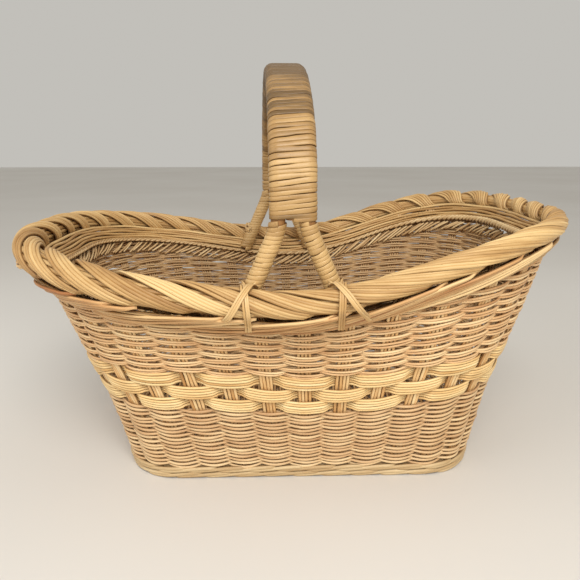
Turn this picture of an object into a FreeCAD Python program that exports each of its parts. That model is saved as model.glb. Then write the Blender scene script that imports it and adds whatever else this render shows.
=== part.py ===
import FreeCAD, Part
import math
import os

import Sketcher
from FreeCAD import Placement, Rotation, Vector

# A woven market basket: an oblong, boat-rimmed rattan basket with a fixed bow handle.
# +X runs along the length, +Y from the front long side to the back one, +Z up.
# The origin is on the ground plane, under the middle of the rim. Millimetres and degrees.

DIMENSIONS = (
    # The outer outline of the wall, a rounded rectangle, at five heights.
    ("base_z", 0.0, "height of the lowest outline"),
    ("base_half_length", 151.0, "half length at the ground"),
    ("base_half_width", 100.0, "half width at the ground"),
    ("base_corner", 45.0, "corner radius at the ground"),
    ("waist_low_z", 71.0, "underside of the waist ribbons"),
    ("waist_low_half_length", 174.5, "half length under the waist"),
    ("waist_low_half_width", 121.0, "half width under the waist"),
    ("waist_low_corner", 84.0, "corner radius under the waist"),
    ("waist_high_z", 105.5, "top of the waist ribbons"),
    ("waist_high_half_length", 188.0, "half length above the waist"),
    ("waist_high_half_width", 130.3, "half width above the waist"),
    ("waist_high_corner", 95.0, "corner radius above the waist"),
    ("flare_z", 150.0, "height where the wall flares more"),
    ("flare_half_length", 204.0, "half length at the flare"),
    ("flare_half_width", 145.0, "half width at the flare"),
    ("flare_corner", 112.0, "corner radius at the flare"),
    ("brim_z", 206.0, "height of the highest outline"),
    ("brim_half_length", 219.0, "half length at the brim"),
    ("brim_half_width", 165.0, "half width at the brim"),
    ("brim_corner", 128.0, "corner radius at the brim"),
    ("wall", 8.0, "thickness of the woven wall"),
    ("lean", 0.038, "how far the wall leans towards the left end, per unit of height"),
    # Foot and floor.
    ("foot_row", 6.0, "height of one foot wale"),
    ("foot_proud", 1.5, "how far the foot wales stand proud of the wall"),
    ("floor_low", 3.0, "underside of the woven floor"),
    ("floor_high", 9.0, "top of the woven floor"),
    ("stick_radius", 2.0, "radius of a base stick"),
    ("stick_pitch", 26.0, "distance between base sticks"),
    ("stick_inset", 14.0, "distance from a stick's end to the outline"),
    # Stakes.
    ("stake_width", 11.0, "width of a group of four stake rods"),
    ("stake_depth", 2.75, "thickness of a stake rod"),
    ("stake_phase", 4.0, "distance of the first front stake from the middle"),
    # Rim.
    ("rim_half_length", 225.0, "half length of the border's centre line"),
    ("rim_half_width", 158.0, "half width of the border's centre line"),
    ("rim_corner", 130.0, "corner radius of the border's centre line"),
    ("rim_z", 168.0, "height of the border's centre line at the dip"),
    ("left_rise", 30.0, "rise of the border to the left end"),
    ("left_ease", 0.30, "how softly the left rise begins"),
    ("right_rise", 47.0, "rise of the border to the right end"),
    ("right_power", 1.8, "how late the right rise begins"),
    ("border_radius", 13.5, "radius of the rolled border"),
    ("border_gap", 5.0, "open gap between the wall and the border"),
    ("top_wale_height", 8.0, "height of the top wale"),
    ("top_wale_proud", 1.0, "how far the top wale stands proud of the wall"),
    ("inner_row_depth", 5.0, "thickness of the inner finishing row"),
    ("inner_row_height", 5.0, "height of the inner finishing row"),
    # Handle.
    ("handle_top", 345.0, "top of the handle"),
    ("handle_half_span", 135.0, "half span of the bow's centre line"),
    ("handle_offset", -7.5, "place of the handle along the length"),
    ("handle_turn", 2.0, "turn of the handle about the upright axis"),
    ("spring_z", 238.0, "height where the bow starts to curve"),
    ("shoulder_radius", 80.0, "radius of the bow's shoulders"),
    ("split_z", 220.0, "height where the bow rods part"),
    ("split_radius", 45.0, "radius of the bend where they part"),
    ("leg_foot_z", 158.0, "height of the feet of the legs"),
    ("leg_spread", 38.0, "half distance between the feet of a pair of legs"),
    ("rod_radius", 5.2, "radius of a bow rod"),
    ("rod_pitch", 10.5, "distance between the rods of the band"),
    ("wrap_thickness", 1.5, "thickness of the cane wrap"),
    ("wrap_start_z", 226.0, "height where the band's wrap starts"),
    ("leg_wrap_margin", 10.0, "bare length at the top of a leg"),
    # Lashings.
    ("strap_width", 6.0, "width of a lashing strap"),
    ("strap_thickness", 1.6, "thickness of a lashing strap"),
    ("strap_tilt", 35.0, "tilt of a strap from upright"),
    ("strap_gap", 0.6, "clearance between strap and border"),
    ("strap_slack", 2.5, "extra room over and under the border"),
    ("strap_opening", 8.0, "distance from the border's centre line to a strap's ends"),
)

STAKE_COUNT = 36
STICK_COUNT = 7
LEVELS = ("base", "waist_low", "waist_high", "flare", "brim")
RIBBONS = ("waist_ribbon_lower", "waist_ribbon_middle", "waist_ribbon_upper")
SIDES = ("front", "right", "back", "left")

SIZE = {alias: value for alias, value, meaning in DIMENSIONS}
nodes = []

doc = FreeCAD.newDocument("market_basket")


def make_sheet():
    sheet = doc.addObject("Spreadsheet::Sheet", "Dimensions")
    for row, (alias, value, meaning) in enumerate(DIMENSIONS, start=1):
        sheet.set(f"A{row}", meaning)
        sheet.set(f"B{row}", str(value))
        sheet.setAlias(f"B{row}", alias)
    doc.recompute()
    for alias in SIZE:
        SIZE[alias] = float(getattr(sheet, alias))


def cell(alias):
    return f"Dimensions.{alias}"


def as_node(item, name):
    item.Label = name
    nodes.append(item)
    return item


# ---------------------------------------------------------------- outlines of the wall

def segment_of(height):
    """The two levels between which a height lies."""
    for low, high in zip(LEVELS, LEVELS[1:]):
        if height <= SIZE[high + "_z"]:
            return low, high
    return LEVELS[-2], LEVELS[-1]


def outline_at(height, offset=0.0):
    """Half length, half width and corner radius of the wall at a height."""
    low, high = segment_of(height)
    share = (height - SIZE[low + "_z"]) / (SIZE[high + "_z"] - SIZE[low + "_z"])
    sizes = []
    for kind in ("_half_length", "_half_width", "_corner"):
        sizes.append(SIZE[low + kind] + (SIZE[high + kind] - SIZE[low + kind]) * share + offset)
    return sizes


def lean_at(height):
    """How far an outline at a height stands off the middle of the rim, along X."""
    return SIZE["lean"] * (SIZE["rim_z"] - height)


def lean_expression(height):
    return f"{cell('lean')} * ({cell('rim_z')} - ({height}))"


def outline_expression(kind, height, segment, offset):
    low, high = segment
    rise = f"({cell(high + kind)} - {cell(low + kind)})"
    share = f"(({height}) - {cell(low + '_z')}) / ({cell(high + '_z')} - {cell(low + '_z')})"
    return f"{cell(low + kind)} + {rise} * {share} + ({offset})"


def place_on_outline(sizes, share):
    """Point and outward normal at a share of the way round, from the front's middle towards +X."""
    half_length, half_width, corner = sizes
    run_x = half_length - corner
    run_y = half_width - corner
    bend = corner * math.pi / 2
    way = (share % 1.0) * 4 * (run_x + run_y + bend)
    start = Vector(0, -half_width, 0)
    heading = 0.0
    for index, length in enumerate((run_x, bend, 2 * run_y, bend, 2 * run_x, bend, 2 * run_y, bend, run_x)):
        along = min(way, length)
        way -= along
        forward = Vector(math.cos(heading), math.sin(heading), 0)
        outward = Vector(forward.y, -forward.x, 0)
        if index % 2 == 0:
            start = start + forward * along
        else:
            centre = start - outward * corner
            heading += along / corner
            outward = Vector(math.sin(heading), -math.cos(heading), 0)
            start = centre + outward * corner
        if way <= 0:
            break
    return start, outward


def rim_height(x):
    """Height of the border's centre line: it rises steadily to the left end and levels off at the right."""
    reach = abs(x) / SIZE["rim_half_length"]
    if x < 0:
        ease = SIZE["left_ease"]
        share = (math.hypot(reach, ease) - ease) / (math.hypot(1.0, ease) - ease)
        return SIZE["rim_z"] + SIZE["left_rise"] * share
    share = math.sin(min(reach, 1.0) * math.pi / 2) ** SIZE["right_power"]
    return SIZE["rim_z"] + SIZE["right_rise"] * share


def rim_place(share):
    """Point on the border's centre line and its outward normal."""
    rim = (SIZE["rim_half_length"], SIZE["rim_half_width"], SIZE["rim_corner"])
    point, outward = place_on_outline(rim, share)
    return Vector(point.x, point.y, rim_height(point.x)), outward


def outline_sketch(body, name, height, segment, offset):
    """A rounded rectangle at a height, with its three sizes and its height bound to the sheet."""
    sketch = body.newObject("Sketcher::SketchObject", name)
    plane = [item for item in body.Origin.OriginFeatures if item.Role == "XY_Plane"][0]
    sketch.AttachmentSupport = [(plane, "")]
    sketch.MapMode = "FlatFace"
    sketch.setExpression("AttachmentOffset.Base.x", lean_expression(height))
    sketch.setExpression("AttachmentOffset.Base.z", height)
    x, y, r = 150.0, 110.0, 50.0
    corners = ((x - r, -y + r, 270), (x - r, y - r, 0), (-x + r, y - r, 90), (-x + r, -y + r, 180))
    lines = (
        ((-x + r, -y), (x - r, -y)),
        ((x, -y + r), (x, y - r)),
        ((x - r, y), (-x + r, y)),
        ((-x, y - r), (-x, -y + r)),
    )
    for (begin, end), (centre_x, centre_y, angle) in zip(lines, corners):
        sketch.addGeometry(Part.LineSegment(Vector(*begin, 0), Vector(*end, 0)))
        circle = Part.Circle(Vector(centre_x, centre_y, 0), Vector(0, 0, 1), r)
        sketch.addGeometry(Part.ArcOfCircle(circle, math.radians(angle), math.radians(angle + 90)))
    for index in range(8):
        sketch.addConstraint(Sketcher.Constraint("Tangent", index, 2, (index + 1) % 8, 1))
    sketch.addConstraint(Sketcher.Constraint("Horizontal", 4))
    sketch.addConstraint(Sketcher.Constraint("Vertical", 6))
    for index in (3, 5, 7):
        sketch.addConstraint(Sketcher.Constraint("Equal", 1, index))
    sketch.addConstraint(Sketcher.Constraint("Symmetric", 0, 1, 0, 2, -2))
    sketch.addConstraint(Sketcher.Constraint("Symmetric", 2, 1, 2, 2, -1))
    half_length = sketch.addConstraint(Sketcher.Constraint("DistanceX", -1, 1, 2, 1, x))
    half_width = sketch.addConstraint(Sketcher.Constraint("DistanceY", 0, 1, -1, 1, y))
    corner = sketch.addConstraint(Sketcher.Constraint("Radius", 1, r))
    for index, kind in ((half_length, "_half_length"), (half_width, "_half_width"), (corner, "_corner")):
        expression = outline_expression(kind, height, segment, offset)
        sketch.setExpression(f"Constraints[{index}]", expression)
    return sketch


def outline_loft(body, kind, name, sections, offset):
    """A straight-sided loft through the wall's outlines, added to the body or cut from it."""
    sketches = []
    for index, (height, segment) in enumerate(sections):
        sketches.append(outline_sketch(body, f"{name}_{index}", height, segment, offset))
    doc.recompute()
    loft = body.newObject(kind, name)
    loft.Profile = sketches[0]
    loft.Sections = sketches[1:]
    loft.Ruled = True
    doc.recompute()
    return loft


def wall_body(name, sections, outer, inner):
    """A ring of wall between two offsets from the outline, or a full slab when inner is None."""
    body = doc.addObject("PartDesign::Body", name)
    outline_loft(body, "PartDesign::AdditiveLoft", name + "_outside", sections, outer)
    if inner is not None:
        full = body.Shape.Volume
        outline_loft(body, "PartDesign::SubtractiveLoft", name + "_inside", sections, inner)
        if body.Shape.Volume >= full:
            raise RuntimeError(name + ": the inside was not cut")
    return body


def cut(name, base, tool):
    item = doc.addObject("Part::Cut", name)
    item.Base = base
    item.Tool = tool
    return item


def compound(name, links):
    item = doc.addObject("Part::Compound", name)
    item.Links = links
    return item


# ---------------------------------------------------------------- stakes and border

def stake_section(point, outward):
    """The flat rectangle of one group of stake rods, in a level plane."""
    along = Vector(-outward.y, outward.x, 0) * (SIZE["stake_width"] / 2)
    across = outward * (SIZE["stake_depth"] / 2)
    corners = (point - along - across, point + along - across, point + along + across, point - along + across)
    return Part.makePolygon(list(corners) + [corners[0]])


def stake_solid(share):
    """One group of stake rods: up the middle of the wall, then out into the border."""
    middle = -SIZE["wall"] / 2
    top = SIZE["waist_high_z"]
    for _ in range(8):
        point, outward = place_on_outline(outline_at(top, middle), share)
        top = rim_height(point.x + lean_at(top)) - SIZE["border_radius"] - SIZE["border_gap"]
    heights = [SIZE["foot_row"], SIZE["waist_low_z"], SIZE["waist_high_z"]]
    if top > SIZE["flare_z"] + SIZE["stake_width"]:
        heights.append(SIZE["flare_z"])
    heights.append(top)
    sections = []
    for height in heights:
        point, outward = place_on_outline(outline_at(height, middle), share)
        sections.append(stake_section(point + Vector(lean_at(height), 0, height), outward))
    point, outward = rim_place(share)
    sections.append(stake_section(point, outward))
    return Part.makeLoft(sections, True, True)


def stake_share(index):
    """Place of a stake group round the outline, as a share of the way round."""
    half_length, half_width, corner = outline_at(SIZE["waist_high_z"], -SIZE["wall"] / 2)
    round_way = 4 * (half_length + half_width) - (8 - 2 * math.pi) * corner
    return index / STAKE_COUNT + SIZE["stake_phase"] / round_way


def make_stakes(borders):
    """Four groups of stakes, one on each side, trimmed where they enter the border."""
    groups = {side: [] for side in SIDES}
    for index in range(STAKE_COUNT):
        share = stake_share(index) % 1.0
        side = SIDES[int(((share + 0.125) % 1.0) * 4)]
        groups[side].append(stake_solid(share))
    blanks = []
    for side in SIDES:
        blank = doc.addObject("Part::Feature", f"stakes_{side}_blank")
        blank.Shape = Part.makeCompound(groups[side])
        blanks.append(blank)
        as_node(cut(f"stakes_{side}", blank, borders), f"stakes_{side}")
    return compound("all_stakes", blanks)


def tube_section(centre, forward, radius):
    """A circle square to a direction, its seam always at the same side."""
    side = Vector(forward.y, -forward.x, 0).normalize()
    up = side.cross(forward)
    turn = FreeCAD.Matrix(
        side.x, up.x, forward.x, centre.x,
        side.y, up.y, forward.y, centre.y,
        side.z, up.z, forward.z, centre.z,
        0, 0, 0, 1,
    )
    edge = Part.makeCircle(radius)
    edge.Placement = Placement(turn)
    return Part.Wire([edge])


def make_border():
    """The rolled border in four lengths that meet face to face at the corners."""
    steps = 16
    small = 0.001
    lengths = []
    for index, side in enumerate(SIDES):
        sections = []
        for step in range(steps + 1):
            share = index / 4 - 0.125 + step / steps / 4
            forward = (rim_place(share + small)[0] - rim_place(share - small)[0]).normalize()
            sections.append(tube_section(rim_place(share)[0], forward, SIZE["border_radius"]))
        item = doc.addObject("Part::Feature", f"border_{side}")
        item.Shape = Part.makeLoft(sections, True, True)
        lengths.append(as_node(item, f"border_{side}"))
    return compound("border_blank", lengths)


# ---------------------------------------------------------------- foot, floor and wall

def ring_sections(low, high, segment):
    return ((low, segment), (high, segment))


def make_foot(stakes):
    segment = ("base", "waist_low")
    proud = cell("foot_proud")
    inner = "-" + cell("wall")
    first = ring_sections(cell("base_z"), cell("foot_row"), segment)
    as_node(wall_body("foot_wale_lower", first, proud, inner), "foot_wale_lower")
    second = ring_sections(cell("foot_row"), "2 * " + cell("foot_row"), segment)
    blank = wall_body("foot_wale_upper_blank", second, proud, inner)
    as_node(cut("foot_wale_upper", blank, stakes), "foot_wale_upper")


def make_floor():
    """Long base sticks in tunnels through a woven floor that fills the foot wales."""
    sticks = []
    for index in range(STICK_COUNT):
        row = index - (STICK_COUNT - 1) / 2
        stick = doc.addObject("Part::Cylinder", f"base_stick_{index}")
        stick.setExpression("Radius", cell("stick_radius"))
        reach = f"({cell('base_half_length')} - {cell('stick_inset')} - abs({row}))"
        stick.setExpression("Height", f"2 * {reach}")
        stick.Placement = Placement(Vector(), Rotation(Vector(0, 1, 0), 90))
        height = f"({cell('floor_low')} + {cell('floor_high')}) / 2"
        stick.setExpression("Placement.Base.x", f"{lean_expression(height)} - {reach}")
        stick.setExpression("Placement.Base.y", f"{row} * {cell('stick_pitch')}")
        stick.setExpression("Placement.Base.z", height)
        sticks.append(stick)
    group = as_node(compound("base_sticks", sticks), "base_sticks")
    sections = ring_sections(cell("floor_low"), cell("floor_high"), ("base", "waist_low"))
    slab = wall_body("base_weave_blank", sections, "-" + cell("wall"), None)
    as_node(cut("base_weave", slab, group), "base_weave")


def make_lower_wall(stakes):
    inner = "-" + cell("wall")
    sections = ring_sections("2 * " + cell("foot_row"), cell("waist_low_z"), ("base", "waist_low"))
    blank = wall_body("lower_weave_blank", sections, "0", inner)
    as_node(cut("lower_weave", blank, stakes), "lower_weave")
    rise = f"({cell('waist_high_z')} - {cell('waist_low_z')}) / {len(RIBBONS)}"
    for index, name in enumerate(RIBBONS):
        low = f"{cell('waist_low_z')} + {index} * {rise}"
        high = f"{cell('waist_low_z')} + {index + 1} * {rise}"
        sections = ring_sections(low, high, ("waist_low", "waist_high"))
        blank = wall_body(name + "_blank", sections, "0", inner)
        as_node(cut(name, blank, stakes), name)


def saddle_slab(name, drop_low, drop_high):
    """A solid between two drops below the border's centre line, right across the basket."""
    reach = SIZE["rim_half_length"] + 2 * SIZE["border_radius"]
    depth = SIZE["rim_half_width"] + 2 * SIZE["border_radius"]
    stations = 24
    upper = []
    for index in range(stations + 1):
        x = reach * (2 * index / stations - 1)
        upper.append(Vector(x, -depth, rim_height(x) - drop_high))
    if drop_low is None:
        lower = [Vector(point.x, -depth, 0) for point in (upper[0], upper[-1])]
    else:
        lower = [point - Vector(0, 0, drop_low - drop_high) for point in upper]
    edges = [Part.LineSegment(upper[-1], lower[-1]).toShape(), Part.LineSegment(lower[0], upper[0]).toShape()]
    for points in (upper, lower):
        curve = Part.BSplineCurve()
        if len(points) > 2:
            curve.interpolate(points)
            edges.append(curve.toShape())
        else:
            edges.append(Part.LineSegment(*points).toShape())
    face = Part.Face(Part.Wire(Part.__sortEdges__(edges)))
    item = doc.addObject("Part::Feature", name)
    item.Shape = face.extrude(Vector(0, 2 * depth, 0))
    return item


def common(name, base, tool):
    item = doc.addObject("Part::Common", name)
    item.Base = base
    item.Tool = tool
    return item


def make_upper_wall(stakes):
    """The upper weave, the top wale and the inner finishing row all follow the rim's dip."""
    segment = ("waist_high", "flare")
    sections = (
        (cell("waist_high_z"), segment),
        (cell("flare_z"), segment),
        (cell("brim_z"), ("flare", "brim")),
    )
    wale_top = SIZE["border_radius"] + SIZE["border_gap"]
    wale_low = wale_top + SIZE["top_wale_height"]
    proud = cell("top_wale_proud")
    inner = f"-{cell('wall')}"
    face = f"-{cell('wall')} - {proud}"

    weave = wall_body("upper_weave_body", sections, "0", inner)
    trimmed = common("upper_weave_blank", weave, saddle_slab("below_top_wale", None, wale_low))
    as_node(cut("upper_weave", trimmed, stakes), "upper_weave")

    wale = wall_body("top_wale_body", sections, proud, face)
    trimmed = common("top_wale_blank", wale, saddle_slab("top_wale_slab", wale_low, wale_top))
    as_node(cut("top_wale", trimmed, stakes), "top_wale")

    row = wall_body("inner_row_body", sections, face, f"{face} - {cell('inner_row_depth')}")
    slab = saddle_slab("inner_row_slab", wale_top + SIZE["inner_row_height"], wale_top)
    as_node(common("inner_finishing_row", row, slab), "inner_finishing_row")


# ---------------------------------------------------------------- handle

def handle_frame():
    return Placement(Vector(SIZE["handle_offset"], 0, 0), Rotation(Vector(0, 0, 1), SIZE["handle_turn"]))


def crown_radius():
    """Radius of the bow's top arc, tangent to both shoulders, and the height of its centre."""
    shoulder = SIZE["shoulder_radius"]
    inset = SIZE["handle_half_span"] - shoulder
    top = SIZE["handle_top"] - SIZE["wrap_thickness"] - SIZE["rod_radius"]
    rise = top - SIZE["spring_z"]
    radius = (inset ** 2 + rise ** 2 - shoulder ** 2) / (2 * (rise - shoulder))
    return radius, top - radius


def bow_edges(x):
    """The curved part of the bow in the plane at x, from the front spring line to the back one."""
    span = SIZE["handle_half_span"]
    shoulder = SIZE["shoulder_radius"]
    spring = SIZE["spring_z"]
    radius, centre_z = crown_radius()
    shoulder_end = math.atan2(span - shoulder, spring - centre_z)

    def on_shoulder(angle):
        return span - shoulder + shoulder * math.sin(angle), spring + shoulder * math.cos(angle)

    middle_y, middle_z = on_shoulder((shoulder_end + math.pi / 2) / 2)
    joint_y, joint_z = on_shoulder(shoulder_end)
    foot = Vector(x, -span, spring)
    middle = Vector(x, -middle_y, middle_z)
    joint = Vector(x, -joint_y, joint_z)
    crown = Vector(x, 0, centre_z + radius)

    def mirrored(point):
        return Vector(point.x, -point.y, point.z)

    return [
        Part.Arc(foot, middle, joint).toShape(),
        Part.Arc(joint, crown, mirrored(joint)).toShape(),
        Part.Arc(mirrored(joint), mirrored(middle), mirrored(foot)).toShape(),
    ]


def leg_edges(side, end):
    """One splayed leg from its foot up to the spring line, with a round bend at the split."""
    x = side * SIZE["rod_pitch"]
    y = end * SIZE["handle_half_span"]
    foot = Vector(side * SIZE["leg_spread"], y, SIZE["leg_foot_z"])
    bend = Vector(x, y, SIZE["split_z"])
    spring = Vector(x, y, SIZE["spring_z"])
    incoming = (bend - foot).normalize()
    up = Vector(0, 0, 1)
    turn = incoming.getAngle(up)
    reach = SIZE["split_radius"] * math.tan(turn / 2)
    begin = bend - incoming * reach
    end_point = bend + up * reach
    inward = ((begin - bend) + (end_point - bend)).normalize()
    middle = bend + inward * (SIZE["split_radius"] / math.cos(turn / 2) - SIZE["split_radius"])
    return [
        Part.LineSegment(foot, begin).toShape(),
        Part.Arc(begin, middle, end_point).toShape(),
        Part.LineSegment(end_point, spring).toShape(),
    ], foot, incoming


def make_bow_rod(name, side):
    """A bow rod with its two splayed legs, swept along straight runs and tangent arcs."""
    front, foot, direction = leg_edges(side, -1)
    back, _, _ = leg_edges(side, 1)
    edges = front + bow_edges(side * SIZE["rod_pitch"]) + back
    path = Part.Wire(Part.__sortEdges__(edges))
    profile = Part.Wire([Part.makeCircle(SIZE["rod_radius"], foot, direction)])
    item = doc.addObject("Part::Feature", name)
    item.Shape = path.makePipeShell([profile], True, False)
    item.Placement = handle_frame()
    section = math.pi * SIZE["rod_radius"] ** 2
    if abs(item.Shape.Volume / (section * path.Length) - 1) > 0.02:
        raise RuntimeError(name + ": the sweep has the wrong volume")
    return as_node(item, name)


def bow_sketch(body, name, start):
    """The bow's planar path: two uprights joined by shoulder, crown and shoulder arcs."""
    sketch = body.newObject("Sketcher::SketchObject", name)
    plane = [item for item in body.Origin.OriginFeatures if item.Role == "YZ_Plane"][0]
    sketch.AttachmentSupport = [(plane, "")]
    sketch.MapMode = "FlatFace"
    span = SIZE["handle_half_span"]
    shoulder = SIZE["shoulder_radius"]
    spring = SIZE["spring_z"]
    radius, centre_z = crown_radius()
    shoulder_end = math.atan2(span - shoulder, spring - centre_z)
    up = Vector(0, 0, 1)
    half = math.pi / 2
    left = Part.Circle(Vector(shoulder - span, spring, 0), up, shoulder)
    crown = Part.Circle(Vector(0, centre_z, 0), up, radius)
    right = Part.Circle(Vector(span - shoulder, spring, 0), up, shoulder)
    sketch.addGeometry(Part.LineSegment(Vector(-span, spring - 2, 0), Vector(-span, spring, 0)))
    sketch.addGeometry(Part.ArcOfCircle(left, half + shoulder_end, math.pi))
    sketch.addGeometry(Part.ArcOfCircle(crown, half - shoulder_end, half + shoulder_end))
    sketch.addGeometry(Part.ArcOfCircle(right, 0, half - shoulder_end))
    sketch.addGeometry(Part.LineSegment(Vector(span, spring, 0), Vector(span, spring - 2, 0)))
    for first, first_end, second, second_end in ((0, 2, 1, 2), (1, 1, 2, 2), (2, 1, 3, 2), (3, 1, 4, 1)):
        sketch.addConstraint(Sketcher.Constraint("Tangent", first, first_end, second, second_end))
    sketch.addConstraint(Sketcher.Constraint("Vertical", 0))
    sketch.addConstraint(Sketcher.Constraint("Vertical", 4))
    sketch.addConstraint(Sketcher.Constraint("Equal", 1, 3))
    sketch.addConstraint(Sketcher.Constraint("Symmetric", 0, 1, 4, 2, -2))
    sketch.addConstraint(Sketcher.Constraint("Horizontal", 0, 2, 4, 1))
    rise = f"({cell('handle_top')} - {cell('wrap_thickness')} - {cell('rod_radius')} - {cell('spring_z')})"
    inset = f"({cell('handle_half_span')} - {cell('shoulder_radius')})"
    square = f"({inset} ^ 2 + {rise} ^ 2 - {cell('shoulder_radius')} ^ 2)"
    sizes = (
        ("DistanceX", (0, 1, 4, 2), 2 * span, f"2 * {cell('handle_half_span')}"),
        ("DistanceY", (-1, 1, 0, 1), spring - 2, start),
        ("DistanceY", (-1, 1, 0, 2), spring, cell("spring_z")),
        ("Radius", (1,), shoulder, cell("shoulder_radius")),
        ("Radius", (2,), radius, f"{square} / (2 * ({rise} - {cell('shoulder_radius')}))"),
    )
    for kind, ends, value, expression in sizes:
        index = sketch.addConstraint(Sketcher.Constraint(kind, *ends, value))
        sketch.setExpression(f"Constraints[{index}]", expression)
    return sketch


def profile_sketch(body, name, start):
    """An empty sketch, square to the foot of the bow's front upright."""
    sketch = body.newObject("Sketcher::SketchObject", name)
    plane = [item for item in body.Origin.OriginFeatures if item.Role == "XY_Plane"][0]
    sketch.AttachmentSupport = [(plane, "")]
    sketch.MapMode = "FlatFace"
    sketch.setExpression("AttachmentOffset.Base.z", start)
    sketch.setExpression("AttachmentOffset.Base.y", f"-{cell('handle_half_span')}")
    return sketch


def bow_pipe(body, name, profile, path):
    doc.recompute()
    pipe = body.newObject("PartDesign::AdditivePipe", name)
    pipe.Profile = profile
    pipe.Spine = path
    doc.recompute()
    body.Placement = handle_frame()
    return pipe


def make_filler_rod():
    body = doc.addObject("PartDesign::Body", "handle_filler_rod")
    path = bow_sketch(body, "filler_path", cell("wrap_start_z"))
    profile = profile_sketch(body, "filler_profile", cell("wrap_start_z"))
    profile.addGeometry(Part.Circle(Vector(), Vector(0, 0, 1), SIZE["rod_radius"]))
    profile.addConstraint(Sketcher.Constraint("Coincident", 0, 3, -1, 1))
    index = profile.addConstraint(Sketcher.Constraint("Radius", 0, SIZE["rod_radius"]))
    profile.setExpression(f"Constraints[{index}]", cell("rod_radius"))
    bow_pipe(body, "filler_sweep", profile, path)
    return as_node(body, "handle_filler_rod")


def make_handle_wrap(rods):
    """The cane skin round the three rods of the band, from split to split."""
    body = doc.addObject("PartDesign::Body", "handle_wrap_blank")
    path = bow_sketch(body, "wrap_path", cell("wrap_start_z"))
    profile = profile_sketch(body, "wrap_profile", cell("wrap_start_z"))
    radius = SIZE["rod_radius"] + SIZE["wrap_thickness"]
    reach = SIZE["rod_pitch"]
    up = Vector(0, 0, 1)
    half = math.pi / 2
    left = Part.Circle(Vector(-reach, 0, 0), up, radius)
    right = Part.Circle(Vector(reach, 0, 0), up, radius)
    profile.addGeometry(Part.LineSegment(Vector(-reach, -radius, 0), Vector(reach, -radius, 0)))
    profile.addGeometry(Part.ArcOfCircle(right, -half, half))
    profile.addGeometry(Part.LineSegment(Vector(reach, radius, 0), Vector(-reach, radius, 0)))
    profile.addGeometry(Part.ArcOfCircle(left, half, 3 * half))
    for index in range(4):
        profile.addConstraint(Sketcher.Constraint("Tangent", index, 2, (index + 1) % 4, 1))
    profile.addConstraint(Sketcher.Constraint("Horizontal", 0))
    profile.addConstraint(Sketcher.Constraint("Symmetric", 1, 3, 3, 3, -1, 1))
    index = profile.addConstraint(Sketcher.Constraint("Radius", 1, radius))
    profile.setExpression(f"Constraints[{index}]", f"{cell('rod_radius')} + {cell('wrap_thickness')}")
    index = profile.addConstraint(Sketcher.Constraint("DistanceX", 3, 3, 1, 3, 2 * reach))
    profile.setExpression(f"Constraints[{index}]", f"2 * {cell('rod_pitch')}")
    bow_pipe(body, "wrap_sweep", profile, path)
    core = compound("handle_core", rods)
    return as_node(cut("handle_wrap", body, core), "handle_wrap")


def make_leg_wrap(name, side, end, rod):
    """A cane sleeve round the straight run of one leg."""
    _, foot, direction = leg_edges(side, end)
    bare = f"- {cell('leg_wrap_margin')}"
    spread = f"({cell('leg_spread')} - {cell('rod_pitch')})"
    rise = f"({cell('split_z')} - {cell('leg_foot_z')})"
    sleeve = doc.addObject("Part::Cylinder", name + "_blank")
    sleeve.setExpression("Radius", f"{cell('rod_radius')} + {cell('wrap_thickness')}")
    sleeve.setExpression("Height", f"sqrt({spread} ^ 2 + {rise} ^ 2) {bare}")
    upright = Placement(foot, Rotation(Vector(0, 0, 1), direction))
    sleeve.Placement = handle_frame().multiply(upright)
    as_node(cut(name, sleeve, rod), name)


def strap_solid(swell):
    """One open strap round the outside of the roll, its length along X and its opening towards +Y."""
    tilt = math.radians(SIZE["strap_tilt"])
    radius = SIZE["border_radius"] + SIZE["strap_gap"] + swell
    width = SIZE["strap_width"]
    reach = radius / math.cos(tilt) + width / 2 * math.tan(tilt) + SIZE["strap_slack"]
    faces = []
    for grow in (0.0, SIZE["strap_thickness"]):
        curve = Part.Ellipse(Vector(0, 0, -width / 2), reach + grow, radius + grow)
        faces.append(Part.Face(Part.Wire([curve.toShape()])))
    hoop = faces[1].cut(faces[0]).extrude(Vector(0, 0, width))
    room = 4 * reach
    opening = Part.makeBox(room, room, room, Vector(-room / 2, SIZE["strap_opening"], -room / 2))
    return hoop.cut(opening)


def make_lashing(name, side, end):
    """Two crossed straps over the border at the foot of one leg."""
    rise = SIZE["rim_z"] - SIZE["leg_foot_z"]
    slope = (SIZE["leg_spread"] - SIZE["rod_pitch"]) / (SIZE["split_z"] - SIZE["leg_foot_z"])
    leg = Vector(side * (SIZE["leg_spread"] - slope * rise), end * SIZE["handle_half_span"], 0)
    x = handle_frame().multVec(leg).x
    centre = Vector(x, end * SIZE["rim_half_width"], rim_height(x))
    climb = math.degrees(math.atan2(rim_height(x + 1) - rim_height(x - 1), 2))
    level = Rotation(Vector(0, 1, 0), -climb)
    straps = []
    for order, tilt in enumerate((SIZE["strap_tilt"], -SIZE["strap_tilt"])):
        strap = strap_solid(order * (SIZE["strap_thickness"] + SIZE["strap_gap"]))
        facing = Rotation(Vector(0, 0, 1), 0 if end < 0 else 180)
        upright = Rotation(Vector(0, 1, 0), tilt - 90)
        strap.Placement = Placement(centre, level.multiply(facing).multiply(upright))
        straps.append(strap)
    item = doc.addObject("Part::Feature", name)
    item.Shape = Part.makeCompound(straps)
    as_node(item, name)


def make_handle():
    rods = {-1: make_bow_rod("handle_rod_left", -1), 1: make_bow_rod("handle_rod_right", 1)}
    filler = make_filler_rod()
    make_handle_wrap([rods[-1], filler, rods[1]])
    for end, end_name in ((-1, "front"), (1, "back")):
        for side, side_name in ((-1, "left"), (1, "right")):
            make_leg_wrap(f"leg_wrap_{end_name}_{side_name}", side, end, rods[side])
            make_lashing(f"lashing_{end_name}_{side_name}", side, end)


# ---------------------------------------------------------------- build, check and write

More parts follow.
